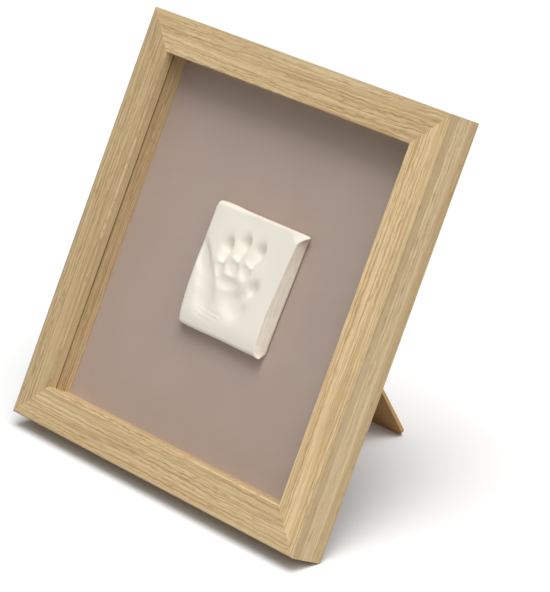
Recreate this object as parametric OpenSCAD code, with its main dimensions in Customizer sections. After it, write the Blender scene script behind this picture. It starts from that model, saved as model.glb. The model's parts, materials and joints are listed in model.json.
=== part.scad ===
// A deep box frame for a baby's handprint in clay, standing on its easel strut.
// X runs across the frame, Y from front to back and Z up. The origin lies on the
// table, in the middle of the frame's footprint. Each piece is first drawn in the
// upright frame, whose back face is the plane y = 0 and whose front is at minus Y.

/* [Frame] */
// Outer width of the frame
frame_w = 300; // [240:1:370]
// Outer height of the frame
frame_h = 300; // [240:1:370]
// Depth of the frame from front to back
frame_depth = 26.5; // [25:0.5:40]
// Width of a rail, seen from the front
rail_w = 27; // [24:0.5:36]
// Thickness of the lip in front of the glass
lip_t = 7; // [5:0.5:9]
// Reach of the lip past the wall of the rebate
lip_reach = 6; // [4:0.5:8]
// Radius of the rounded front edges
edge_r = 1; // [0.4:0.1:2]

/* [Panes and boards] */
// Thickness of the glass
glass_t = 2; // [1.5:0.5:3]
// Thickness of the taupe board behind the print
display_board_t = 2; // [1:0.5:3]
// Thickness of the back board
back_board_t = 3; // [2.5:0.5:4]
// Play of the panes and boards in the rebate, on each side
pane_gap = 0.5; // [0.3:0.1:1]
// How far the spacers stand back behind the lip's sight edge
spacer_setback = 1; // [0.5:0.5:2]
// Play between a spacer and the wall of the rebate
spacer_gap = 0.2; // [0.1:0.1:0.5]

/* [Clay print] */
// Width of the clay slab
print_w = 86; // [70:1:120]
// Height of the clay slab
print_h = 87; // [70:1:120]
// Thickness of the clay slab at its middle
print_t = 8.5; // [6:0.5:9]
// Slab's middle to the right of the frame's middle
print_x = 4; // [-20:1:20]
// Slab's middle above the frame's middle
print_z = -1.5; // [-20:0.5:20]
// Radius of the slab's corners
print_corner_r = 6; // [3:0.5:12]
// Radius of the slab's domed face
print_dome_r = 420; // [300:10:800]
// Depth of the fingers' prints
finger_depth = 2.6; // [1.5:0.1:3]
// Thickness of the adhesive pads behind the slab
pad_t = 1; // [0.5:0.5:1.5]
// Side of a square adhesive pad
pad_w = 16; // [10:1:22]

/* [Easel] */
// Angle at which the frame leans back from upright
lean = 26; // [18:1:30]
// Angle between the open strut and the back of the frame
strut_open = 52; // [38:1:52]
// Distance from the frame's top edge down to the strut's hinge
hinge_drop = 102; // [60:1:110]
// Width of the strut at its foot
strut_foot_w = 80; // [60:1:100]
// Width of the strut at its hinge
strut_top_w = 46; // [34:1:56]
// Thickness of the strut
strut_t = 2.5; // [2.5:0.5:3.5]
// Radius of the strut's foot corners
strut_foot_r = 6; // [3:0.5:10]
// Radius of the strut's top corners
strut_top_r = 8; // [4:0.5:12]

/* [Hinge] */
// Thickness of the hinge's sheet steel
hinge_t = 1; // [0.8:0.1:1.2]
// Radius of the hinge pin
pin_r = 1.25; // [1:0.05:1.5]
// Radius of the rolled knuckles
knuckle_r = 2.5; // [2.3:0.1:3]
// Width of the plate on the back board
base_plate_w = 32; // [30:1:40]
// Height of the plate on the back board, above the pin
base_plate_h = 26; // [22:1:32]
// Width of the strut's own knuckle
leaf_knuckle_w = 14; // [10:1:16]
// Width of the leaf on the strut
leaf_w = 26; // [20:1:30]
// Length of the leaf below the pin
leaf_h = 24; // [20:1:30]
// Height of the heel that stops the strut
heel_h = 8; // [6:0.5:9]
// Radius of a rivet's shank
rivet_r = 1.5; // [1:0.1:1.8]
// Radius of a rivet's head
rivet_head_r = 3; // [2.4:0.1:3.5]
// Thickness of a rivet's head
rivet_head_t = 0.9; // [0.6:0.1:1.1]

/* [Turn buttons] */
// Distance between the upper and the lower button
button_spacing = 150; // [100:1:170]
// Distance from a button's screw to the wall of the rebate
button_inset = 7; // [5:0.5:9]
// Length of a button from its screw to the middle of its round tip
button_reach = 14; // [13:0.5:18]
// Radius of a button's round ends
button_r = 4; // [3.5:0.5:4.5]
// Thickness of a button
button_t = 1; // [0.8:0.1:1.5]
// Radius of a screw's shank
screw_r = 1.5; // [1.2:0.1:1.7]
// Radius of a screw's head
screw_head_r = 3; // [2.6:0.1:3.5]
// Thickness of a screw's head
screw_head_t = 1.5; // [1.2:0.1:2]
// Length of a screw's shank in the rail
screw_depth = 12; // [8:0.5:14]

/* [Corner nails] */
// Length of each leg of a corner nail
nail_leg = 5; // [3:0.5:6]
// Thickness of a corner nail
nail_t = 0.6; // [0.5:0.1:1]
// Depth of a corner nail in the rails
nail_depth = 8; // [6:0.5:10]
// Depth at which a nail's end lies under the back face
nail_sink = 0.3; // [0.1:0.1:0.6]
// Distance from the frame's outer edges to the outer nail
nail_first = 5; // [4:0.5:6]
// Distance from the outer nail to the inner one
nail_pitch = 7.5; // [6.5:0.5:8]

/* [Clearances] */
// Running clearance of a pin or a screw in its hole
run_gap = 0.05; // [0.02:0.01:0.1]
// Clearance between pieces that pass each other
pass_gap = 0.3; // [0.2:0.05:0.5]
// Clearance of the heel from its stop, and of a button from the frame
rest_gap = 0.15; // [0.1:0.05:0.2]

/* [Hidden] */
$fn = 48;

// A cut runs past the surface that it opens by this much
over = 1;

// Rebate: its wall lies this far in from the outer edges
rebate_in = rail_w - lip_reach;
rebate_w = frame_w - 2 * rebate_in;
rebate_h = frame_h - 2 * rebate_in;

// Layers in the rebate, as planes from front to back
front_y = -frame_depth;
glass_y = front_y + lip_t;
spacer_y = glass_y + glass_t;
back_board_y = -back_board_t;
display_board_y = back_board_y - display_board_t;
spacer_d = display_board_y - spacer_y;
spacer_t = lip_reach - spacer_setback - spacer_gap;
print_back_y = display_board_y - pad_t;

// The pin's axis lies behind the back face, and the strut hangs centred on it
pin_y = knuckle_r + pass_gap;
pin_z = frame_h - hinge_drop;
strut_rise = strut_open - lean;
pin_above_table = pin_z * cos(lean) - pin_y * sin(lean);
strut_len = (pin_above_table - strut_t / 2 * sin(strut_rise)) / cos(strut_rise);
strut_top_gap = knuckle_r + 2 * pass_gap;

// Footprint: from the frame's lower front edge to the strut's foot or the frame's top
low_front_y = (front_y + edge_r) * cos(lean) + edge_r * sin(lean) - edge_r;
foot_y = pin_y * cos(lean) + pin_z * sin(lean)
    + strut_len * sin(strut_rise) + strut_t / 2 * cos(strut_rise);
middle_y = (low_front_y + max(foot_y, frame_h * sin(lean))) / 2;

// Rivets stand in pairs, this far to each side
base_rivet_x = base_plate_w / 2 - rivet_head_r - 2.5;
base_rivet_z = pin_z + base_plate_h - rivet_head_r - 4;
leaf_rivet_x = leaf_w / 2 - rivet_head_r - 3;
leaf_rivet_z = -leaf_h + rivet_head_r + 5;

// Places of the turn buttons' screws on the side rails
button_x = rebate_w / 2 + button_inset;
button_z = button_spacing / 2;

// Colours as in the photograph
oak = [0.78, 0.67, 0.49];
steel = [0.72, 0.72, 0.74];
taupe = [0.66, 0.59, 0.54];
board_brown = [0.55, 0.42, 0.3];

// Stands a piece drawn in the upright frame on the table, leaning back.
module leaning() {
    translate([0, -middle_y, 0]) rotate([-lean, 0, 0]) children();
}

// Places a piece of the strut, drawn hanging straight down from the pin's axis.
module on_strut() {
    leaning() translate([0, pin_y, pin_z]) rotate([strut_open, 0, 0]) children();
}

// Cross section of a rail: x is 0 at the outer edge and grows inwards, y is depth.
module rail_section() {
    difference() {
        union() {
            translate([0, front_y]) square([rail_w, lip_t]);
            translate([0, front_y]) square([rebate_in, frame_depth]);
        }
        translate([-over, front_y - over]) square(edge_r + over);
        translate([rail_w - edge_r, front_y - over]) square(edge_r + over);
    }
    for (x = [edge_r, rail_w - edge_r]) translate([x, front_y + edge_r]) circle(r = edge_r);
}

// One mitred rail along X at the bottom of a frame that is length wide.
module mitred_rail(length) {
    intersection() {
        translate([-length / 2, 0, 0]) rotate([90, 0, 90])
            linear_extrude(height = length) rail_on_side();
        translate([0, over, 0]) rotate([90, 0, 0])
            linear_extrude(height = frame_depth + 2 * over)
                polygon([[-length / 2, 0], [length / 2, 0],
                    [length / 2 - rail_w, rail_w], [rail_w - length / 2, rail_w]]);
    }
}

// The section turned so that depth is its first axis and height its second.
module rail_on_side() {
    mirror([1, -1]) rail_section();
}

// Corner nails: bent plates across the mitres, one leg in each rail.
module corner_nails(grow) {
    leg = nail_leg + grow;
    for (sx = [-1, 1], sz = [0, 1], n = [0, 1]) {
        at = nail_first + n * nail_pitch;
        translate([0, 0, sz * frame_h]) mirror([0, 0, sz])
            translate([sx * frame_w / 2, 0, 0]) mirror([max(sx, 0), 0, 0])
                translate([at - grow, -nail_depth - grow, at - grow]) {
                    cube([leg + grow, nail_depth - nail_sink + 2 * grow, nail_t + 2 * grow]);
                    cube([nail_t + 2 * grow, nail_depth - nail_sink + 2 * grow, leg + grow]);
                }
    }
}

// A nail's slot runs out through the back face.
module corner_nail_slots() {
    corner_nails(run_gap);
    translate([0, nail_sink, 0]) corner_nails(run_gap);
}

// Puts its child at each turn button's screw, seen from behind the back face.
module at_buttons() {
    for (sx = [-1, 1], sz = [-1, 1])
        translate([sx * button_x, 0, frame_h / 2 + sz * button_z]) children();
}

module screw_holes() {
    at_buttons() rotate([90, 0, 0]) translate([0, 0, -over])
        cylinder(r = screw_r + run_gap, h = screw_depth + pass_gap + over);
}

module top_rail() {
    color(oak) leaning() difference() {
        translate([0, 0, frame_h]) mirror([0, 0, 1]) mitred_rail(frame_w);
        corner_nail_slots();
    }
}

module bottom_rail() {
    color(oak) leaning() difference() {
        mitred_rail(frame_w);
        corner_nail_slots();
    }
}

// A side rail is the same bar stood on end; side is -1 on the left and 1 on the right.
module side_rail(side) {
    color(oak) leaning() difference() {
        translate([side * frame_w / 2, 0, frame_h / 2]) mirror([max(side, 0), 0, 0])
            rotate([0, 90, 0]) mitred_rail(frame_h);
        corner_nail_slots();
        screw_holes();
    }
}

module left_rail() side_rail(-1);

module right_rail() side_rail(1);

module corner_v_nails() {
    color(steel) leaning() corner_nails(0);
}

// A rectangular pane or board that lies in the rebate.
module pane(y, t) {
    translate([-rebate_w / 2 + pane_gap, y, rebate_in + pane_gap])
        cube([rebate_w - 2 * pane_gap, t, rebate_h - 2 * pane_gap]);
}

module glass_pane() {
    color([0.85, 0.92, 0.93, 0.3]) leaning() pane(glass_y, glass_t);
}

module display_board() {
    color(taupe) leaning() pane(display_board_y, display_board_t);
}

// The upright spacers run the whole height, and the level ones fit between them.
module side_spacer(side) {
    color(oak) leaning()
        translate([side * (rebate_w / 2 - spacer_gap - spacer_t / 2), spacer_y + spacer_d / 2,
            frame_h / 2])
            cube([spacer_t, spacer_d, rebate_h - 2 * spacer_gap], center = true);
}

module level_spacer(z) {
    inner_w = rebate_w - 2 * (spacer_gap + spacer_t);
    color(oak) leaning()
        translate([-inner_w / 2, spacer_y, z]) cube([inner_w, spacer_d, spacer_t]);
}

module left_spacer() side_spacer(-1);

module right_spacer() side_spacer(1);

module bottom_spacer() level_spacer(rebate_in + spacer_gap);

module top_spacer() level_spacer(frame_h - rebate_in - spacer_gap - spacer_t);

// Draws its child at the slab's middle, on the plane where the slab's back lies.
module at_print() {
    leaning() translate([print_x, print_back_y, frame_h / 2 + print_z]) children();
}

module adhesive_pads() {
    pad_x = print_w / 2 - pad_w / 2 - print_corner_r;
    pad_z = print_h / 2 - pad_w / 2 - print_corner_r;
    color([0.9, 0.9, 0.88]) at_print()
        for (sx = [-1, 1], sz = [-1, 1])
            translate([sx * pad_x - pad_w / 2, 0, sz * pad_z - pad_w / 2])
                cube([pad_w, pad_t, pad_w]);
}

// A finger's print is a round ended groove from one point of the face to another.
module finger_print(from, to, r) {
    along = to - from;
    reach = norm(along);
    translate([from[0], -print_t - r + finger_depth, from[1]])
        rotate([0, -atan2(along[1], along[0]), 0]) {
            sphere(r = r);
            rotate([0, 90, 0]) cylinder(r = r, h = reach);
            translate([reach, 0, 0]) sphere(r = r);
        }
}

// A pad of the palm is a shallow round dish.
module palm_print(at, r, depth) {
    translate([at[0], -print_t - r + depth, at[1]]) sphere(r = r);
}

// The slab is domed, and holds the print of a left hand: the thumb is at the right.
module clay_print() {
    inner = [print_w / 2 - print_corner_r, print_h / 2 - print_corner_r];
    color([0.94, 0.92, 0.87]) at_print() difference() {
        intersection() {
            rotate([90, 0, 0]) linear_extrude(height = print_t) {
                square([print_w, 2 * inner[1]], center = true);
                square([2 * inner[0], print_h], center = true);
                for (sx = [-1, 1], sz = [-1, 1])
                    translate([sx * inner[0], sz * inner[1]]) circle(r = print_corner_r);
            }
            translate([0, print_dome_r - print_t, 0]) sphere(r = print_dome_r, $fn = 360);
        }
        finger_print([-18, 22], [-17, -3], 5.4);
        finger_print([-3, 27], [-6, 2], 6);
        finger_print([14, 25], [4, 3], 5.5);
        finger_print([20, 2], [10, -12], 6);
        finger_print([-33, 15], [-24, -4], 5);
        palm_print([4, -18], 22, 2.4);
        palm_print([-19, -17], 26, 2.2);
        palm_print([-7, -9], 25, 1.9);
    }
}

// A rivet's hole and its counterbore open at both faces of the back board.
module back_board() {
    color(board_brown) leaning() difference() {
        pane(back_board_y, back_board_t);
        for (sx = [-1, 1]) translate([sx * base_rivet_x, 0, base_rivet_z]) rotate([90, 0, 0]) {
            translate([0, 0, -over])
                cylinder(r = rivet_r + run_gap, h = back_board_t + 2 * over);
            translate([0, 0, back_board_t - rivet_head_t - run_gap])
                cylinder(r = rivet_head_r + run_gap, h = rivet_head_t + over);
        }
    }
}

// A knuckle is a rolled tube along X around the pin's axis.
module knuckle(x, w) {
    translate([x, 0, 0]) rotate([0, 90, 0]) cylinder(r = knuckle_r, h = w);
}

module pin_hole() {
    translate([-base_plate_w, 0, 0]) rotate([0, 90, 0])
        cylinder(r = pin_r + run_gap, h = 2 * base_plate_w);
}

module hinge_base_plate() {
    bay_w = leaf_knuckle_w + 2 * pass_gap;
    knuckle_w = (base_plate_w - bay_w) / 2;
    color(steel) leaning() translate([0, pin_y, pin_z]) difference() {
        union() {
            translate([-base_plate_w / 2, -pin_y, 0])
                cube([base_plate_w, hinge_t, base_plate_h]);
            knuckle(-base_plate_w / 2, knuckle_w);
            knuckle(bay_w / 2, knuckle_w);
        }
        translate([-bay_w / 2, -pin_y - over, -over])
            cube([bay_w, hinge_t + 2 * over, knuckle_r + pass_gap + over]);
        pin_hole();
        for (sx = [-1, 1])
            translate([sx * base_rivet_x, over - pin_y + hinge_t, base_rivet_z - pin_z])
                rotate([90, 0, 0]) cylinder(r = rivet_r + run_gap, h = hinge_t + 2 * over);
    }
}

// The pin's heads are peened over outside the outer knuckles.
module hinge_pin() {
    head_w = 0.8;
    color(steel) leaning() translate([0, pin_y, pin_z]) rotate([0, 90, 0]) {
        cylinder(r = pin_r, h = base_plate_w + 2 * run_gap, center = true);
        for (end = [0, 1]) mirror([0, 0, end])
            translate([0, 0, base_plate_w / 2 + run_gap])
                cylinder(r1 = knuckle_r - pass_gap, r2 = pin_r, h = head_w);
    }
}

// A rivet along Y: its domed head ends at y = dome_y, and its clinched end at clinch_y.
module rivet(clinch_y, dome_y) {
    rotate([-90, 0, 0]) {
        translate([0, 0, clinch_y]) cylinder(r = rivet_r, h = dome_y - clinch_y);
        translate([0, 0, clinch_y]) cylinder(r = rivet_head_r, h = rivet_head_t);
        translate([0, 0, dome_y - rivet_head_t])
            cylinder(r1 = rivet_head_r, r2 = rivet_r + run_gap, h = rivet_head_t);
    }
}

module base_plate_rivets() {
    color(steel) leaning() for (sx = [-1, 1])
        translate([sx * base_rivet_x, 0, base_rivet_z])
            rivet(-back_board_t, hinge_t + rivet_head_t);
}

module strut_rivets() {
    color(steel) on_strut() for (sx = [-1, 1])
        translate([sx * leaf_rivet_x, 0, leaf_rivet_z])
            rivet(-strut_t / 2 - rivet_head_t, strut_t / 2 + hinge_t + rivet_head_t);
}

module leaf_rivet_holes() {
    for (sx = [-1, 1])
        translate([sx * leaf_rivet_x, strut_t / 2 + hinge_t + over, leaf_rivet_z])
            rotate([90, 0, 0])
                cylinder(r = rivet_r + run_gap, h = strut_t + hinge_t + 2 * over);
}

// The strut is a flat board that widens towards its foot.
module easel_strut() {
    color(board_brown) on_strut() difference() {
        translate([0, strut_t / 2, 0]) rotate([90, 0, 0]) linear_extrude(height = strut_t)
            hull() for (sx = [-1, 1]) {
                translate([sx * (strut_foot_w / 2 - strut_foot_r), strut_foot_r - strut_len])
                    circle(r = strut_foot_r, $fn = 32);
                translate([sx * (strut_top_w / 2 - strut_top_r), -strut_top_gap - strut_top_r])
                    circle(r = strut_top_r, $fn = 32);
            }
        leaf_rivet_holes();
    }
}

// The leaf lies on the strut's outer face. Its heel meets the plate on the back
// board when the strut is open, and so stops it.
module hinge_strut_leaf() {
    heel_y = pin_y - hinge_t - rest_gap;
    color(steel) on_strut() difference() {
        union() {
            translate([-leaf_w / 2, strut_t / 2, -leaf_h])
                cube([leaf_w, hinge_t, leaf_h - strut_top_gap]);
            translate([-leaf_knuckle_w / 2, strut_t / 2, -leaf_h])
                cube([leaf_knuckle_w, hinge_t, leaf_h]);
            knuckle(-leaf_knuckle_w / 2, leaf_knuckle_w);
            rotate([-strut_open, 0, 0]) translate([-leaf_knuckle_w / 2, -heel_y, 0])
                cube([leaf_knuckle_w, hinge_t, heel_h]);
        }
        pin_hole();
        leaf_rivet_holes();
    }
}

// A turn button points inwards over the back board; side and level are -1 or 1.
module turn_button(side, level) {
    color(steel) leaning()
        translate([side * button_x, rest_gap, frame_h / 2 + level * button_z])
            mirror([max(side, 0), 0, 0]) rotate([-90, 0, 0]) difference() {
                union() {
                    cylinder(r = button_r, h = button_t);
                    translate([0, -button_r, 0]) cube([button_reach, 2 * button_r, button_t]);
                    translate([button_reach, 0, 0]) cylinder(r = button_r, h = button_t);
                }
                translate([0, 0, -over])
                    cylinder(r = screw_r + run_gap, h = button_t + 2 * over);
            }
}

module left_upper_turn_button() turn_button(-1, 1);

module left_lower_turn_button() turn_button(-1, -1);

module right_upper_turn_button() turn_button(1, 1);

module right_lower_turn_button() turn_button(1, -1);

// Pan head screws with a crossed recess, which leave the buttons free to turn.
module turn_button_screws() {
    head_y = button_t + 2 * rest_gap;
    slot_w = 0.8;
    slot_len = 1.3 * screw_head_r;
    tip = 3;
    color(steel) leaning() at_buttons() rotate([-90, 0, 0]) difference() {
        union() {
            translate([0, 0, head_y])
                cylinder(r1 = screw_head_r, r2 = screw_head_r * 0.7, h = screw_head_t);
            translate([0, 0, tip - screw_depth])
                cylinder(r = screw_r, h = screw_depth - tip + head_y);
            translate([0, 0, -screw_depth])
                cylinder(r1 = run_gap, r2 = screw_r, h = tip);
        }
        for (turn = [0, 90]) rotate([0, 0, turn])
            translate([-slot_len / 2, -slot_w / 2, head_y + screw_head_t / 2])
                cube([slot_len, slot_w, screw_head_t]);
    }
}

top_rail();
bottom_rail();
left_rail();
right_rail();
corner_v_nails();
glass_pane();
top_spacer();
bottom_spacer();
left_spacer();
right_spacer();
display_board();
adhesive_pads();
clay_print();
back_board();
hinge_base_plate();
hinge_pin();
base_plate_rivets();
easel_strut();
hinge_strut_leaf();
strut_rivets();
left_upper_turn_button();
left_lower_turn_button();
right_upper_turn_button();
right_lower_turn_button();
turn_button_screws();
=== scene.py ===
import json
import math

import bmesh
import bpy
import numpy as np
from mathutils import Matrix, Vector


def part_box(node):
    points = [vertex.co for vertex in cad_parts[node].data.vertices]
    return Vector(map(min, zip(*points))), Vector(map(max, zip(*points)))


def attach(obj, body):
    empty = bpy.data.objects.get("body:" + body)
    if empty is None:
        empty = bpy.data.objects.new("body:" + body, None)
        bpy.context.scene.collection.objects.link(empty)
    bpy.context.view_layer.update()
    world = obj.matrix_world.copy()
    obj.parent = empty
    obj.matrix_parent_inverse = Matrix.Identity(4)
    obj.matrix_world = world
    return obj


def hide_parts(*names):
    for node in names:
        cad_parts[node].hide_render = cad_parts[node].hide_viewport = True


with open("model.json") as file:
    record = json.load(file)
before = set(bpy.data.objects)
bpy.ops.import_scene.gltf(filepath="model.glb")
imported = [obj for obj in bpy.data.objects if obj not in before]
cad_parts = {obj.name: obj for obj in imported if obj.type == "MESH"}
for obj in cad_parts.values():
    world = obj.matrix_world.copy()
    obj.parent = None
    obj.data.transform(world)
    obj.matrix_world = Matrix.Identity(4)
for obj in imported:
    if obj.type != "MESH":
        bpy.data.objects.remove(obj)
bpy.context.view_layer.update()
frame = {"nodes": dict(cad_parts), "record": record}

scene = bpy.context.scene

# Camera
# It looks at the frame from its right and from above, through a long lens, so the
# rails keep nearly the same width from the near corner to the far one.
look_at = Vector((0.0563, -0.0349, 0.1457))
camera_turn = math.radians(49.43)
camera_rise = math.radians(22.17)
camera_roll = math.radians(0.22)
camera_distance = 2.1254
photo_focal_px = 3254.0
photo_long_side_px = 592.0

away = Vector((math.sin(camera_turn) * math.cos(camera_rise),
               -math.cos(camera_turn) * math.cos(camera_rise),
               math.sin(camera_rise)))
camera_data = bpy.data.cameras.new("camera")
camera_data.sensor_width = 36.0
camera_data.lens = camera_data.sensor_width * photo_focal_px / photo_long_side_px
camera_data.clip_start = 0.1
camera_data.clip_end = 50.0
camera = bpy.data.objects.new("camera", camera_data)
scene.collection.objects.link(camera)
camera.matrix_world = (Matrix.Translation(look_at + away * camera_distance)
                       @ (-away).to_track_quat("-Z", "Y").to_matrix().to_4x4()
                       @ Matrix.Rotation(camera_roll, 4, "Z"))
scene.camera = camera

# The leaning frame's own axes
# The frame leans back, and its lower rear edge rests on the table. The record's two
# flat faces give the lean and that edge, its heel. An upright place has x to the right,
# y to the back from the back face, and z up the frame from its lower edge.
mounts = {mount["name"]: mount for mount in frame["record"]["mounts"]}
frame_depth = 0.0265
edge_round = 0.001
to_back = Vector(mounts["top_rail_back"]["axis"]).normalized()
lean = math.atan2(-to_back.z, to_back.y)
heel = Vector(mounts["underside"]["pos_m"]) + to_back * (frame_depth - edge_round) / 2
leaning = Matrix.Translation(heel) @ Matrix.Rotation(-lean, 4, "X")
half_side = -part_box("left_rail")[0].x

# Rails
# Four mitred rails of fibre board, wrapped in a light oak foil whose straight grain
# runs along each rail. The foil turns a few millimetres onto the back, and past that
# the board is bare.
rail_width = 0.027
foil_hem = 0.005
mitre_line = 0.0004
soft_edge = 0.0002


class Value:
    """One socket of a finish. Sums and products of values add Math nodes."""

    def __init__(self, finish, socket):
        self.finish = finish
        self.socket = socket

    def out(self, name):
        """Another output of the same node."""
        return Value(self.finish, self.socket.node.outputs[name])

    def maths(self, operation, *terms):
        return self.finish.node("ShaderNodeMath", {"operation": operation},
                                dict(enumerate(terms)))

    def __add__(self, other):
        return self.maths("ADD", self, other)

    def __radd__(self, other):
        return self.maths("ADD", other, self)

    def __sub__(self, other):
        return self.maths("SUBTRACT", self, other)

    def __rsub__(self, other):
        return self.maths("SUBTRACT", other, self)

    def __mul__(self, other):
        return self.maths("MULTIPLY", self, other)

    def __rmul__(self, other):
        return self.maths("MULTIPLY", other, self)

    def __abs__(self):
        return self.maths("ABSOLUTE", self)

    def rises(self, low, high):
        """0 below low and 1 above high, with a smooth step between them."""
        return self.finish.node("ShaderNodeMapRange", {"interpolation_type": "SMOOTHSTEP"},
                                {"Value": self, "From Min": low, "From Max": high})


class Finish:
    """The material of one of the frame's finishes, built up from nodes."""

    def __init__(self, name):
        self.material = bpy.data.materials.new(name)
        self.material.use_nodes = True
        self.tree = self.material.node_tree
        self.shader = self.tree.nodes["Principled BSDF"]

    def node(self, kind, settings=None, inputs=None):
        """A node with its settings and inputs made, as the value of its first output."""
        made = self.tree.nodes.new(kind)
        for key, setting in (settings or {}).items():
            setattr(made, key, setting)
        for key, value in (inputs or {}).items():
            if isinstance(value, Value):
                self.tree.links.new(value.socket, made.inputs[key])
            else:
                made.inputs[key].default_value = value
        first = next((s for s in made.outputs if s.enabled), made.outputs[0])
        return Value(self, first)

    def upright(self):
        """x, y and z in the leaning frame's own axes, in metres."""
        turn = Matrix.Rotation(lean, 3, "X")
        place = self.node("ShaderNodeTexCoord").out("Object")
        turned = self.node("ShaderNodeMapping", inputs={
            "Vector": place, "Rotation": (lean, 0, 0), "Location": -(turn @ heel)})
        parts = self.node("ShaderNodeSeparateXYZ", inputs={0: turned})
        return parts, parts.out("Y"), parts.out("Z")

    def noise(self, x, y, z, detail, rough=0.5):
        spot = self.node("ShaderNodeCombineXYZ", inputs={0: x, 1: y, 2: z})
        return self.node("ShaderNodeTexNoise", inputs={
            "Vector": spot, "Scale": 1.0, "Detail": detail, "Roughness": rough})

    def blend(self, amount, one, other):
        return self.node("ShaderNodeMix", {"data_type": "RGBA"},
                         {0: amount, 6: one, 7: other})

    def bump(self, height, depth, strength):
        return self.node("ShaderNodeBump", inputs={
            "Height": height, "Distance": depth, "Strength": strength})

    def set(self, **inputs):
        """Give the shader its values, by the names of its sockets."""
        for key, value in inputs.items():
            socket = self.shader.inputs[key.replace("_", " ")]
            if isinstance(value, Value):
                self.tree.links.new(value.socket, socket)
            else:
                socket.default_value = value

    def cover(self, *nodes):
        """Put the finish on CAD nodes in place of their plain one."""
        for node in nodes:
            slots = frame["nodes"][node].data.materials
            slots.clear()
            slots.append(self.material)


def tone(red, green, blue):
    """A colour as it looks, from 0 to 255, as the linear one that a shader takes."""
    def linear(part):
        part /= 255
        return part / 12.92 if part < 0.04045 else ((part + 0.055) / 1.055) ** 2.4
    return (linear(red), linear(green), linear(blue), 1.0)


def oak_finish(name, grain, shift, tone_and_painted_light, arch=1.6, fine=1050, bare_back=True):
    """Oak foil with its grain along x or z, and the bare board where the foil ends.

    shift picks the stretch of foil, the level its tone, arch how far its rings bow, and fine
    how close its thin lines lie. The level also carries painted light: a rail or strip
    that the lamps leave too dark or too light is painted lighter or darker.
    """
    def foil(red, green, blue):
        return tuple(part * tone_and_painted_light for part in tone(red, green, blue)[:3]) + (1.0,)

    oak = Finish(name)
    x, y, z = oak.upright()
    from_middle = z - half_side
    if grain == "x":
        along, across = x + shift, abs(from_middle)
    else:
        along, across = z + shift, abs(x)

    # The grain's lines run over the rail's edges, and wander and ripple along it.
    unfolded = across + y
    wander = oak.noise(along * 5, unfolded * 28, shift, detail=1)
    ripple = oak.noise(along * 120, unfolded * 150, shift + 31, detail=2)
    line = unfolded + (wander - 0.5) * 0.005 + (ripple - 0.5) * 0.0019

    # Soft bands and grey patches lie under broken rings of growth, fine dark and pale
    # lines, short flecks and open pores.
    bands = oak.noise(along * 2.4, line * 150, shift + 3, detail=3)
    grey = oak.noise(along * 1.8, line * 62, shift + 23, detail=1)
    curl = oak.noise(along * 8, line * 60, shift + 29, detail=2)
    turns = line * 330 + curl * arch
    ring = turns.maths("FRACT", turns)
    growth = (1 - ring.rises(0.0, 0.34)) + ring.rises(0.9, 1.0)
    shown = oak.noise(along * 6, line * 200, shift + 5, detail=2)
    growth = growth * shown.rises(0.32, 0.56)
    streaks = oak.noise(along * 9, line * fine, shift + 7, detail=2, rough=0.55)
    dark_line = streaks.rises(0.5, 0.62)
    pale_line = streaks.rises(0.34, 0.46)
    flecks = oak.noise(along * 95, line * 1250, shift + 13, detail=2, rough=0.6)
    fleck = flecks.rises(0.52, 0.64) * (0.3 + 0.7 * shown.rises(0.36, 0.6))
    pores = oak.noise(along * 60, line * 2900, shift + 17, detail=2, rough=0.6)
    pore = pores.rises(0.55, 0.66) * (0.4 + 0.6 * growth)
    beside = across.rises(half_side - edge_round - soft_edge, half_side - edge_round + soft_edge)
    body = oak.blend(bands.rises(0.3, 0.7), foil(189, 162, 117), foil(205, 180, 138))
    body = oak.blend((1 - pale_line) * (0.5 - 0.3 * beside), body, foil(214, 190, 149))
    body = oak.blend(grey.rises(0.5, 0.75) * 0.2, body, foil(192, 175, 143))

    # The foil on the outer side goes from dull at the front to pale and to warm behind.
    dull = beside * (1 - y.rises(-0.021, -0.018)) * 0.65
    pale = beside * y.rises(-0.019, -0.0165) * (1 - y.rises(-0.0125, -0.009)) * 0.5
    warm = beside * y.rises(-0.0115, -0.006) * 0.5
    body = oak.blend(dull, body, foil(160, 141, 108))
    body = oak.blend(pale, body, foil(183, 166, 135))
    body = oak.blend(warm, body, foil(155, 134, 98))

    body = oak.blend(growth * (0.52 - 0.2 * beside), body, foil(148, 116, 70))
    body = oak.blend(dark_line * (0.48 - 0.2 * beside), body, foil(152, 120, 74))
    body = oak.blend(fleck * 0.62, body, foil(142, 111, 68))
    body = oak.blend(pore * 0.45, body, foil(125, 95, 58))

    # The inner walls are painted paler, as painted light from the board, most on the left
    # and right rails, and the mitres show as fine lines.
    rail_inside = half_side - rail_width
    inner_wall_painted_light = 1 - across.rises(rail_inside - soft_edge / 2, rail_inside + soft_edge / 2)
    body = oak.blend(inner_wall_painted_light * (0.55 if grain == "z" else 0.1), body, foil(236, 212, 168))
    mitre = 1 - abs(abs(x) - abs(from_middle)).rises(0.0, mitre_line)
    body = oak.blend(mitre * 0.1, body, foil(122, 94, 58))
    if bare_back:
        hem_end = half_side - foil_hem
        on_back = y.rises(-soft_edge, -soft_edge / 4)
        bare = on_back * (1 - across.rises(hem_end - soft_edge, hem_end))
        fibre = oak.noise(x * 900, y * 900, z * 900, detail=3)
        body = oak.blend(bare, body, oak.blend(fibre, tone(150, 118, 84), tone(176, 142, 105)))
    relief = 0.4 * growth + 0.4 * dark_line + pore
    oak.set(Base_Color=body, Roughness=0.5 + 0.1 * growth,
            Normal=oak.bump(1 - relief, 0.00008, 0.6))
    return oak


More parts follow.
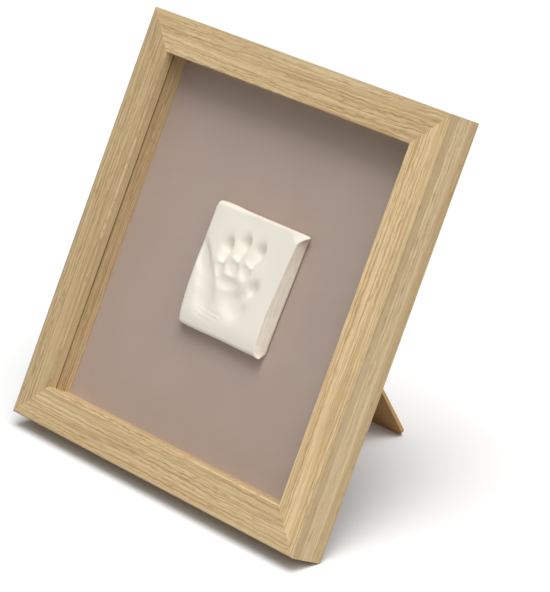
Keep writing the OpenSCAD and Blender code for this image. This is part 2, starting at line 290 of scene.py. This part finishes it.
# The levels are partly painted light: the right rail is painted lightest and the left one
# darkest, as light that falls off from the right to the left.
for node, grain, shift, tone_and_painted_light, arch, fine in (("top_rail", "x", 0.31, 1.12, 5.0, 1050),
                                              ("bottom_rail", "x", 1.73, 1.09, 2.6, 1050),
                                              ("left_rail", "z", 2.47, 0.95, 1.6, 760),
                                              ("right_rail", "z", 4.19, 1.24, 1.8, 640)):
    oak_finish(node + "_oak", grain, shift, tone_and_painted_light, arch, fine).cover(node)

# Spacers
# Four strips wrapped in the same foil hold the glass away from the display board.
# They stand back a little behind the lip, which leaves a dark line between them.
# Their level paints them lighter than the left rail, as painted light on the walls of the
# recess.
for node, grain, shift in (("top_spacer", "x", 5.9), ("bottom_spacer", "x", 6.6),
                           ("left_spacer", "z", 7.3), ("right_spacer", "z", 8.8)):
    oak_finish(node + "_oak", grain, shift, tone_and_painted_light=1.14, bare_back=False).cover(node)

# Glass
# One clear pane of float glass lies in the rebate, against the back of the lip. The
# spacers behind it keep it there.
clear = Finish("clear_glass")
x, y, z = clear.upright()
haze = clear.noise(x * 9, y * 9, z * 9, detail=2)
clear.set(Base_Color=clear.blend(haze, tone(120, 130, 126), tone(138, 148, 144)),
          Roughness=0.02, Alpha=0.03)
clear.cover("glass_pane")

# Display board
# A stiff board behind the spacers carries the print. It is covered in taupe paper with
# a faint, felted tooth.
taupe = Finish("taupe_paper")
x, y, z = taupe.upright()
cloud = taupe.noise(x * 22, y * 22, z * 22, detail=3)
felt = taupe.noise(x * 1600, y * 1600, z * 1600, detail=2)
paper = taupe.blend(cloud, tone(171, 152, 141), tone(181, 162, 150))
paper = taupe.blend(felt.rises(0.4, 0.7) * 0.12, paper, tone(158, 139, 127))
taupe.set(Base_Color=paper, Roughness=0.9, Specular_IOR_Level=0.2,
          Normal=taupe.bump(felt, 0.00003, 0.3))
taupe.cover("display_board")

# Adhesive pads
# Four squares of white foam tape, 1 mm thick and sticky on both sides, hold the clay
# slab on the display board.
foam = Finish("foam_tape")
x, y, z = foam.upright()
cells = foam.noise(x * 2500, y * 2500, z * 2500, detail=1)
foam.set(Base_Color=foam.blend(cells, tone(206, 204, 198), tone(238, 236, 230)),
         Roughness=0.9, Normal=foam.bump(cells, 0.0001, 0.6))
foam.cover("adhesive_pads")

# Clay print
# A slab of ivory clay, rolled out and cut while soft, with rounded shoulders on three
# sides and a raw cut down its right side. A baby's left hand was pressed into its face.
# Its sizes are in millimetres from the middle of the frame, and y from the back face.
slab_cells = 190
rim_cells = 10
rim_band = 5.0
wall_rows = 7
face_y = -14.5
slab_back_y = -6.0
slab_bottom, slab_top = -45.0, 42.4


def spread(edge_low, edge_high, t):
    """Place t, from 0 to 1, between two edges, closer together beside them."""
    cell = t * slab_cells
    width = edge_high - edge_low
    rim = rim_band * (1 - np.cos(np.clip(cell / rim_cells, 0, 1) * np.pi / 2))
    other = rim_band * (1 - np.cos(np.clip((slab_cells - cell) / rim_cells, 0, 1) * np.pi / 2))
    middle = (cell - rim_cells) / (slab_cells - 2 * rim_cells) * (width - 2 * rim_band)
    from_low = np.where(cell < rim_cells, rim,
                        np.where(cell > slab_cells - rim_cells, width - other,
                                 rim_band + middle))
    return edge_low + from_low, from_low, width - from_low


def smooth(t):
    """Ease in and out from 0 to 1."""
    return t * t * (3 - 2 * t)


def dent(x, z, middle, half_width, half_length, turn, depth, power):
    """A pressed dish, whose length leans to the right by turn degrees.

    The higher the power, the flatter its floor and the steeper its wall.
    """
    c, s = math.cos(math.radians(turn)), math.sin(math.radians(turn))
    across = ((x - middle[0]) * c - (z - middle[1]) * s) / half_width
    along = ((x - middle[0]) * s + (z - middle[1]) * c) / half_length
    return depth * np.exp(-np.hypot(across, along) ** power)


def furrow(x, z, points, width, depth):
    """A shallow line through points, soft across and fading at its ends."""
    line = np.zeros_like(x)
    for (x0, z0), (x1, z1) in zip(points, points[1:]):
        run = np.array([x1 - x0, z1 - z0])
        t = np.clip(((x - x0) * run[0] + (z - z0) * run[1]) / run.dot(run), 0, 1)
        away_from = np.hypot(x - x0 - t * run[0], z - z0 - t * run[1])
        line = np.maximum(line, np.exp(-(away_from / width) ** 2))
    return depth * line


# A fine grid with walls drawn out of its rim and a back across them.
slab = bmesh.new()
cut_side_and_painted_shade = slab.verts.layers.float.new("cut_side_and_painted_shade")
bmesh.ops.create_grid(slab, x_segments=slab_cells, y_segments=slab_cells, size=1.0)
rim = [edge for edge in slab.edges if edge.is_boundary]
for row in range(wall_rows):
    made = bmesh.ops.extrude_edge_only(slab, edges=rim)["geom"]
    bmesh.ops.translate(slab, verts=[v for v in made if isinstance(v, bmesh.types.BMVert)],
                        vec=(0, 0, -1 / wall_rows))
    rim = [e for e in made if isinstance(e, bmesh.types.BMEdge) and e.is_boundary]
bmesh.ops.contextual_create(slab, geom=rim)

# The outline. The right side slopes out from the face to the back, and its edge is
# ragged where the knife went down.
spots = np.array([v.co[:] for v in slab.verts])
u, v, down = (spots[:, 0] + 1) / 2, (spots[:, 1] + 1) / 2, -spots[:, 2]
height = np.interp(v, (0, 1), (slab_bottom, slab_top))
left_edge = np.interp(height, (slab_bottom, -42, -21, -1, 15, 37, slab_top),
                      (-39.6, -40.2, -42.2, -42.0, -41.3, -40.9, -40.6))
right_face = np.interp(height, (slab_bottom, -43, -41, -38, -18, 4, 27, 39, slab_top),
                       (47.4, 45.4, 43.4, 42.4, 42.0, 43.9, 46.4, 47.9, 48.2))
right_back = np.interp(height, (slab_bottom, -40, -17, 14, 38, slab_top),
                       (45.9, 46.3, 46.7, 48.1, 48.6, 49.0))
right_edge = right_face + (right_back - right_face) * down ** 0.8
x, from_left, from_right = spread(left_edge, right_edge, u)
top_edge = 42.3 + 0.6 * np.exp(-((x + 28) / 12) ** 2)
bottom_edge = slab_bottom + 0.15 * np.sin(x * 0.13 + 1)
z, from_bottom, from_top = spread(bottom_edge, top_edge, v)

# The corners, rounded in the plane of the face.
for side_x, side_z, outward_x, outward_z, radius in (
        (from_left, from_top, -1, 1, 5.2), (from_right, from_top, 1, 1, 1.2),
        (from_left, from_bottom, -1, -1, 4.5), (from_right, from_bottom, 1, -1, 0.8)):
    near_x, near_z = np.clip(radius - side_x, 0, None), np.clip(radius - side_z, 0, None)
    both = (near_x > 0) & (near_z > 0)
    reach = np.maximum(np.hypot(near_x, near_z), 1e-9)
    pull = np.where(both, np.maximum(near_x, near_z) / reach, 1)
    x = x + outward_x * near_x * (pull - 1)
    z = z + outward_z * near_z * (pull - 1)

# The shoulders, each side with its own radius, which pass into each other at the corners.
sides = ((from_left, 5.0), (from_right, 0.9), (from_bottom, 2.2),
         (from_top, np.interp(x, (-40, -12, 0, 48), (3.6, 2.4, 1.5, 1.2))))
corner_blend = 0.4
pulls = [1 / (inset + corner_blend) ** 3 for inset, _ in sides]
shoulder = sum(pull * radius for pull, (_, radius) in zip(pulls, sides)) / sum(pulls)
inset = np.minimum.reduce([from_left, from_right, from_bottom, from_top])
turned = np.clip(1 - inset / shoulder, 0, 1)
drop = shoulder * (1 - np.sqrt(1 - turned ** 2))

# The ring, middle and index fingers pressed deepest at their tips and rise towards the
# palm. Each trough has a steep wall on its right and a gentle one on its left.
trough_tip, trough_root = 6.4, 3.2
trough_narrows = 0.22
floor_places = (-0.3, 0.1, 0.42, 0.75, 1.0, 1.2)
floor_depths = (1, 0.95, 0.74, 0.6, 0.46, 0.34)
hand = []
for tip, root, right, left, depth in (((-12.9, 14.4), (-14.4, 6.8), 3.7, 5.2, 4.4),
                                      ((2.0, 20.0), (-0.2, 11.4), 4.0, 5.4, 4.3),
                                      ((17.0, 18.6), (13.2, 10.6), 3.8, 5.4, 4.1)):
    run = np.array(root) - np.array(tip)
    length = np.hypot(*run)
    t = ((x - tip[0]) * run[0] + (z - tip[1]) * run[1]) / length ** 2
    side = ((z - tip[1]) * run[0] - (x - tip[0]) * run[1]) / length
    ends = np.where(t < 0, -t * length / trough_tip,
                    np.where(t > 1, (t - 1) * length / trough_root, 0))
    narrow = 1 - trough_narrows * np.clip(t, 0, 1.3)
    across = np.where(side > 0, side / right, -side / left) / narrow
    steep = 2.2 + 2.0 * smooth(np.clip(side / 3 + 0.5, 0, 1))
    floor = np.interp(t, floor_places, floor_depths)
    hand.append(depth * floor * np.exp(-np.hypot(across, ends) ** steep))

# The little finger lay flat and runs out over the slab's left shoulder.
kept_inside = smooth(np.clip(from_left / 6, 0, 1))
hand += [dent(x, z, (-31.5, 1.0), 6.4, 15.5, -33, 2.0, 4.0) * kept_inside,
         dent(x, z, (-24.0, -9.5), 8.4, 12.0, -28, 2.0, 3.6) * kept_inside]
for middle, half_width, half_length, turn, depth, power in (
        # the thumb, its tip and its root
        ((20.9, -5.4), 4.4, 6.4, 34, 3.2, 2.4),
        ((16.2, -11.4), 5.2, 8.0, 40, 2.2, 2.2),
        # the pads under the ring, middle and index fingers
        ((-14.6, -0.4), 4.6, 5.2, -6, 1.4, 3.2),
        ((-2.2, 3.6), 5.4, 5.2, 2, 1.4, 3.2),
        ((10.6, 4.0), 4.9, 4.6, 26, 1.4, 3.2),
        # the ball of the thumb, the middle of the palm and its outer heel
        ((10.2, -18.6), 10.2, 9.6, 20, 2.6, 3.0),
        ((-1.0, -7.4), 12.0, 4.4, 3, 1.2, 2.8),
        ((-19.6, -20.8), 8.8, 11.0, -12, 1.9, 3.2)):
    hand.append(dent(x, z, middle, half_width, half_length, turn, depth, power))

# Where parts of the hand meet, the deeper one counts, with a soft step to the other.
hand_meets = 4
pressed = sum(part ** hand_meets for part in hand) ** (1 / hand_meets)

# Three creases of the wrist, with a low ridge between the upper two.
for points, width, depth in ((((-20.5, -31.2), (-12.0, -32.4), (-1.5, -32.8)), 1.2, 0.14),
                             (((-23.5, -34.2), (-16.0, -35.4), (-7.0, -36.2)), 1.1, 0.1),
                             (((-16.0, -28.8), (-8.0, -29.8), (1.3, -29.8)), 1.1, 0.12),
                             (((-18.0, -30.0), (-9.0, -31.2), (0.0, -31.4)), 1.1, -0.08)):
    pressed += furrow(x, z, points, width, depth)

# The face swells a little in the middle and droops towards the bottom and the left.
swell = (0.5 * np.exp(-((x + 3) / 26) ** 4 - ((z + 2) / 30) ** 4)
         + 0.18 * np.sin(x * 0.11 + 0.7) * np.sin(z * 0.09 + 1.1))
droop = (1.7 * np.clip(1 - from_bottom / 13, 0, 1) ** 2
         + 1.4 * np.clip(1 - from_left / 14, 0, 1) ** 2)
rim_y = face_y + shoulder + droop
y = np.where(down > 0, rim_y + (slab_back_y - rim_y) * down,
             face_y - swell + drop + pressed + droop)

# The upper right corner was drawn out to an ear, and the lower right one is torn.
ear_x, ear_z, ear_reach = 48.4, slab_top, 8.6
ear = np.clip(1 - np.hypot(x - ear_x, z - ear_z) / ear_reach, 0, 1) ** 1.7 * (1 - down) ** 1.5
x, y, z = x + 6.0 * ear, y + 4.4 * ear, z - 0.4 * ear
torn_x, torn_z, torn_reach = 44.5, -44.5, 6.0
torn = np.clip(1 - np.hypot(x - torn_x, z - torn_z) / torn_reach, 0, 1) ** 1.2
x, z = x - 0.6 * torn * (1 - down), z + torn * (4.6 * down ** 0.6 - 0.7)

# The raw cut, whole on the right side and faint along the top, is kept for the finish,
# which paints it darker there as painted shade.
cut_and_painted_shade = np.maximum(np.clip(1 - from_right / 0.8, 0, 1), 0.5 * np.clip(1 - from_top / 1.6, 0, 1))
for vert, place, amount in zip(slab.verts, np.stack([x, y, z], axis=1) / 1000, cut_and_painted_shade):
    vert.co = place
    vert[cut_side_and_painted_shade] = amount
bmesh.ops.transform(slab, matrix=leaning @ Matrix.Translation((0, 0, half_side)),
                    verts=slab.verts)
bmesh.ops.recalc_face_normals(slab, faces=slab.faces)
for face in slab.faces:
    face.smooth = len(face.verts) == 4
clay_print = bpy.data.objects.new("hand_print_slab", bpy.data.meshes.new("hand_print_slab"))
slab.to_mesh(clay_print.data)
slab.free()
scene.collection.objects.link(clay_print)

clay = Finish("ivory_clay")
x, y, z = clay.upright()
patches = clay.noise(x * 60, y * 60, z * 60, detail=2)
tooth = clay.noise(x * 700, y * 700, z * 700, detail=3)
drag = clay.noise(x * 900, y * 900, z * 110, detail=2)
on_cut_and_painted_shade = clay.node("ShaderNodeAttribute", {"attribute_name": "cut_side_and_painted_shade"}).out("Fac")
ivory = clay.blend(patches, tone(242, 235, 221), tone(246, 240, 227))
# The right side and the top edge are painted darker, as painted shade; the drag lines across the
# cut are its own.
ivory = clay.blend(on_cut_and_painted_shade * (0.6 + 0.3 * drag.rises(0.4, 0.7)), ivory, tone(217, 203, 186))
clay.set(Base_Color=ivory, Roughness=0.72, Specular_IOR_Level=0.3,
         Normal=clay.bump(tooth * 0.5 + on_cut_and_painted_shade * drag, 0.00012, 0.5))
clay_print.data.materials.append(clay.material)
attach(clay_print, "frame")
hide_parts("clay_print")

# Back board
# A sheet of brown hardboard closes the rebate, held in by the turn buttons. Its smooth
# side faces out.
hardboard = Finish("brown_hardboard")
x, y, z = hardboard.upright()
fibres = hardboard.noise(x * 500, y * 500, z * 900, detail=4, rough=0.65)
mottle = hardboard.noise(x * 28, y * 28, z * 28, detail=3)
brown = hardboard.blend(mottle, tone(122, 86, 54), tone(140, 102, 66))
brown = hardboard.blend(fibres.rises(0.45, 0.68) * 0.5, brown, tone(98, 66, 40))
hardboard.set(Base_Color=brown, Roughness=0.55 + 0.15 * fibres,
              Normal=hardboard.bump(fibres, 0.00006, 0.5))
hardboard.cover("back_board")

# Easel strut
# A tapered leg, cut from thin fibre board. It carries the frame at the hinge and
# stands on the table with its wide end, whose corners are rounded.
leg = Finish("strut_board")
place = leg.node("ShaderNodeTexCoord").out("Object")
x = leg.node("ShaderNodeSeparateXYZ", inputs={0: place})
y, z = x.out("Y"), x.out("Z")
fibres = leg.noise(x * 1300, y * 1300, z * 500, detail=4, rough=0.65)
mottle = leg.noise(x * 40, y * 40, z * 40, detail=2)
buff = leg.blend(mottle, tone(194, 151, 96), tone(210, 167, 112))
buff = leg.blend(fibres.rises(0.45, 0.66) * 0.5, buff, tone(162, 119, 71))
leg.set(Base_Color=buff, Roughness=0.7, Normal=leg.bump(fibres, 0.00008, 0.6))
leg.cover("easel_strut")

# Hinge
# A plate on the back board and a leaf on the strut, both of folded sheet steel with
# a bright zinc coat, turn on one pin. Two rivets hold each of them.
zinc = Finish("zinc_sheet")
x, y, z = zinc.upright()
spangle = zinc.noise(x * 420, y * 420, z * 420, detail=2)
rolled = zinc.noise(x * 90, y * 2400, z * 2400, detail=2)
zinc.set(Base_Color=zinc.blend(spangle.rises(0.35, 0.65), tone(188, 190, 192),
                               tone(200, 202, 204)),
         Metallic=1.0, Roughness=0.28 + 0.2 * spangle, Normal=zinc.bump(rolled, 0.00003, 0.4))
zinc.cover("hinge_base_plate", "hinge_strut_leaf")

turned_steel = Finish("turned_steel")
x, y, z = turned_steel.upright()
wear = turned_steel.noise(x * 800, y * 800, z * 800, detail=3)
turned_steel.set(Base_Color=turned_steel.blend(wear, tone(160, 160, 158), tone(196, 196, 194)),
                 Metallic=1.0, Roughness=0.3 + 0.2 * wear,
                 Normal=turned_steel.bump(wear, 0.00003, 0.3))
turned_steel.cover("hinge_pin", "base_plate_rivets", "strut_rivets")

# Turn buttons
# Four small steel tabs, each turning on a screw in the back of a rail, keep the back
# board in. The screws have round heads with crossed slots.
tab = Finish("button_steel")
x, y, z = tab.upright()
scuff = tab.noise(x * 260, y * 260, z * 2600, detail=3)
tab.set(Base_Color=tab.blend(scuff.rises(0.35, 0.7), tone(150, 150, 150), tone(190, 190, 188)),
        Metallic=1.0, Roughness=0.34 + 0.2 * scuff, Normal=tab.bump(scuff, 0.00003, 0.4))
tab.cover("left_upper_turn_button", "left_lower_turn_button",
          "right_upper_turn_button", "right_lower_turn_button")

yellow_zinc = Finish("yellow_zinc")
x, y, z = yellow_zinc.upright()
stain = yellow_zinc.noise(x * 600, y * 600, z * 600, detail=2)
yellow_zinc.set(Base_Color=yellow_zinc.blend(stain, tone(186, 152, 84), tone(212, 182, 116)),
                Metallic=1.0, Roughness=0.3 + 0.2 * stain,
                Normal=yellow_zinc.bump(stain, 0.00003, 0.3))
yellow_zinc.cover("turn_button_screws")

# Corner nails
# Thin V-shaped nails of spring steel were driven from the back across each mitre, two
# to a corner.
nail_steel = Finish("nail_steel")
x, y, z = nail_steel.upright()
tarnish = nail_steel.noise(x * 900, y * 900, z * 900, detail=3)
nail_steel.set(Base_Color=nail_steel.blend(tarnish, tone(92, 90, 88), tone(138, 136, 132)),
               Metallic=1.0, Roughness=0.35 + 0.25 * tarnish,
               Normal=nail_steel.bump(tarnish, 0.00003, 0.3))
nail_steel.cover("corner_v_nails")

# Table and light
# A white table under a soft lamp overhead, with a wider one from the upper right, in a
# dim and even white room that shows as plain white.
table_half = 8.0
shown_white = (0.83, 0.83, 0.83, 1)
lighting_grey = (0.55, 0.55, 0.55, 1)
room_light = 0.28
table = bpy.data.objects.new("table", bpy.data.meshes.new("table"))
scene.collection.objects.link(table)
top = bmesh.new()
bmesh.ops.create_grid(top, x_segments=1, y_segments=1, size=table_half)
top.to_mesh(table.data)
top.free()
white = Finish("white_table")
rays = white.node("ShaderNodeLightPath")
seen = rays.maths("MAXIMUM", rays, rays.out("Is Glossy Ray"))
seen = seen.maths("MAXIMUM", seen, rays.out("Is Transmission Ray"))
white.set(Base_Color=white.blend(seen, lighting_grey, shown_white), Roughness=1.0,
          Specular_IOR_Level=0.0)
table.data.materials.append(white.material)

for lamp_name, turn, rise, width, power in (("overhead", 61, 77, 38, 2.15),
                                            ("upper_right", 75, 54, 60, 1.4)):
    lamp_data = bpy.data.lights.new(lamp_name, "SUN")
    lamp_data.angle = math.radians(width)
    lamp_data.energy = power
    lamp = bpy.data.objects.new(lamp_name, lamp_data)
    turn, rise = math.radians(turn), math.radians(rise)
    lamp_from = Vector((math.sin(turn) * math.cos(rise), -math.cos(turn) * math.cos(rise),
                        math.sin(rise)))
    lamp.matrix_world = lamp_from.to_track_quat("Z", "Y").to_matrix().to_4x4()
    scene.collection.objects.link(lamp)

# The room is white to the camera, in mirrors and through glass, and dim to all else.
world = bpy.data.worlds.new("room")
world.use_nodes = True
scene.world = world
tree = world.node_tree
room = tree.nodes["Background"]
rays = tree.nodes.new("ShaderNodeLightPath")
shown = rays.outputs["Is Camera Ray"]
for other in ("Is Glossy Ray", "Is Transmission Ray"):
    either = tree.nodes.new("ShaderNodeMath")
    either.operation = "MAXIMUM"
    tree.links.new(shown, either.inputs[0])
    tree.links.new(rays.outputs[other], either.inputs[1])
    shown = either.outputs[0]
level = tree.nodes.new("ShaderNodeMapRange")
level.inputs["To Min"].default_value = room_light
level.inputs["To Max"].default_value = 1.0
tree.links.new(shown, level.inputs["Value"])
room.inputs["Color"].default_value = (1, 1, 1, 1)
tree.links.new(level.outputs["Result"], room.inputs["Strength"])

scene.view_settings.view_transform = "Standard"
